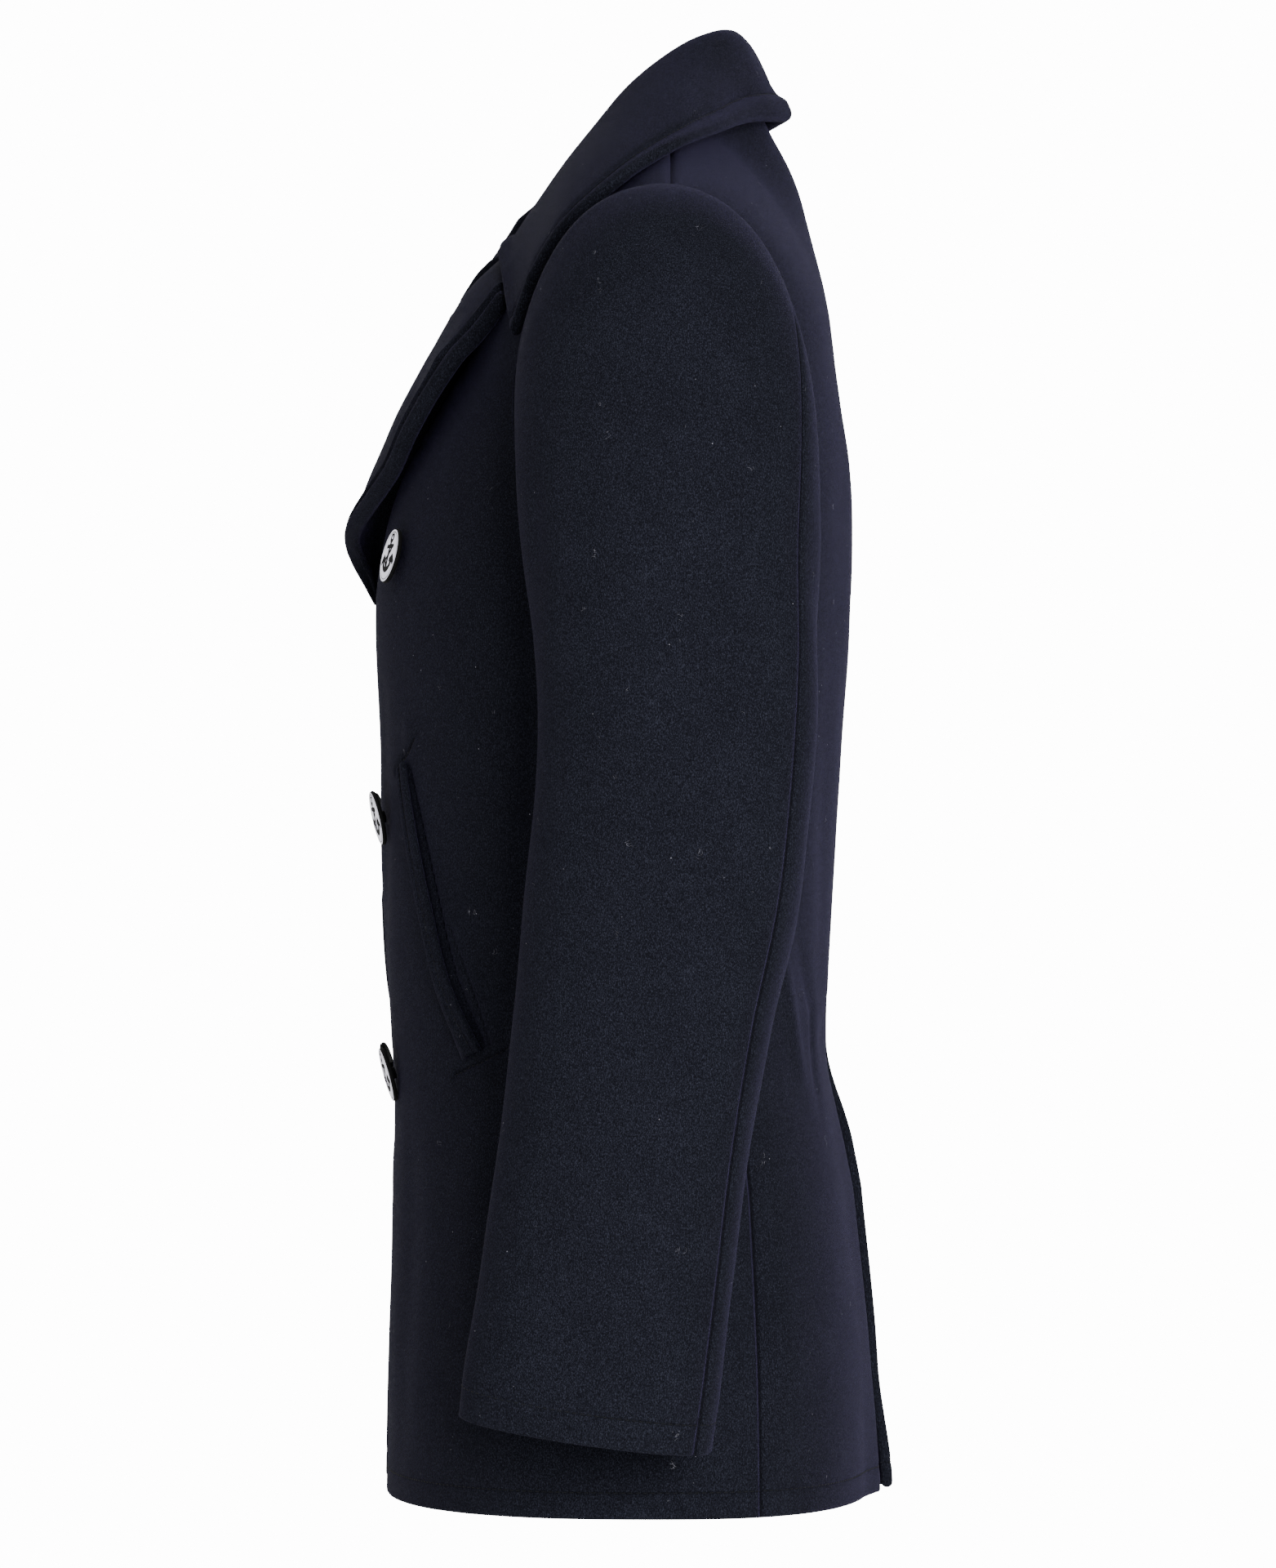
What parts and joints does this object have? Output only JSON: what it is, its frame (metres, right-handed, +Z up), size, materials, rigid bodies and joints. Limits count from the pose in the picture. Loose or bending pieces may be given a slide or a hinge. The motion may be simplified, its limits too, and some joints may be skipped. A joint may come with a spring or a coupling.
{
  "type": "pea coat",
  "caption": "Hip-length double-breasted coat of heavy wool in worn form, with broad notched lapels, a turned-down collar, slanted welt pockets, set-in sleeves and a back vent.",
  "frame": {"origin": "between the shoulders, level with the line that they carry, where the wearer holds the coat", "axes": "+Z up towards the collar, -Y the way the front faces, +X towards the wearer's left sleeve"},
  "size_m": [0.617, 0.2795, 0.7426],
  "materials": {
    "navy_melton": "matt, short felted nap",
    "silver_metal": "polished"
  },
  "bodies": {
    "root": {"front_left": "navy_melton", "front_right": "navy_melton", "back_left": "navy_melton", "back_right": "navy_melton", "sleeve_upper_left": "navy_melton", "sleeve_upper_right": "navy_melton", "sleeve_under_left": "navy_melton", "sleeve_under_right": "navy_melton", "collar": "navy_melton", "lapel_left": "navy_melton", "lapel_right": "navy_melton", "welt_left": "navy_melton", "welt_right": "navy_melton", "button_left_1": "silver_metal", "button_left_2": "silver_metal", "button_left_3": "silver_metal", "button_right_1": "silver_metal", "button_right_2": "silver_metal", "button_right_3": "silver_metal"}
  },
  "joints": []
}
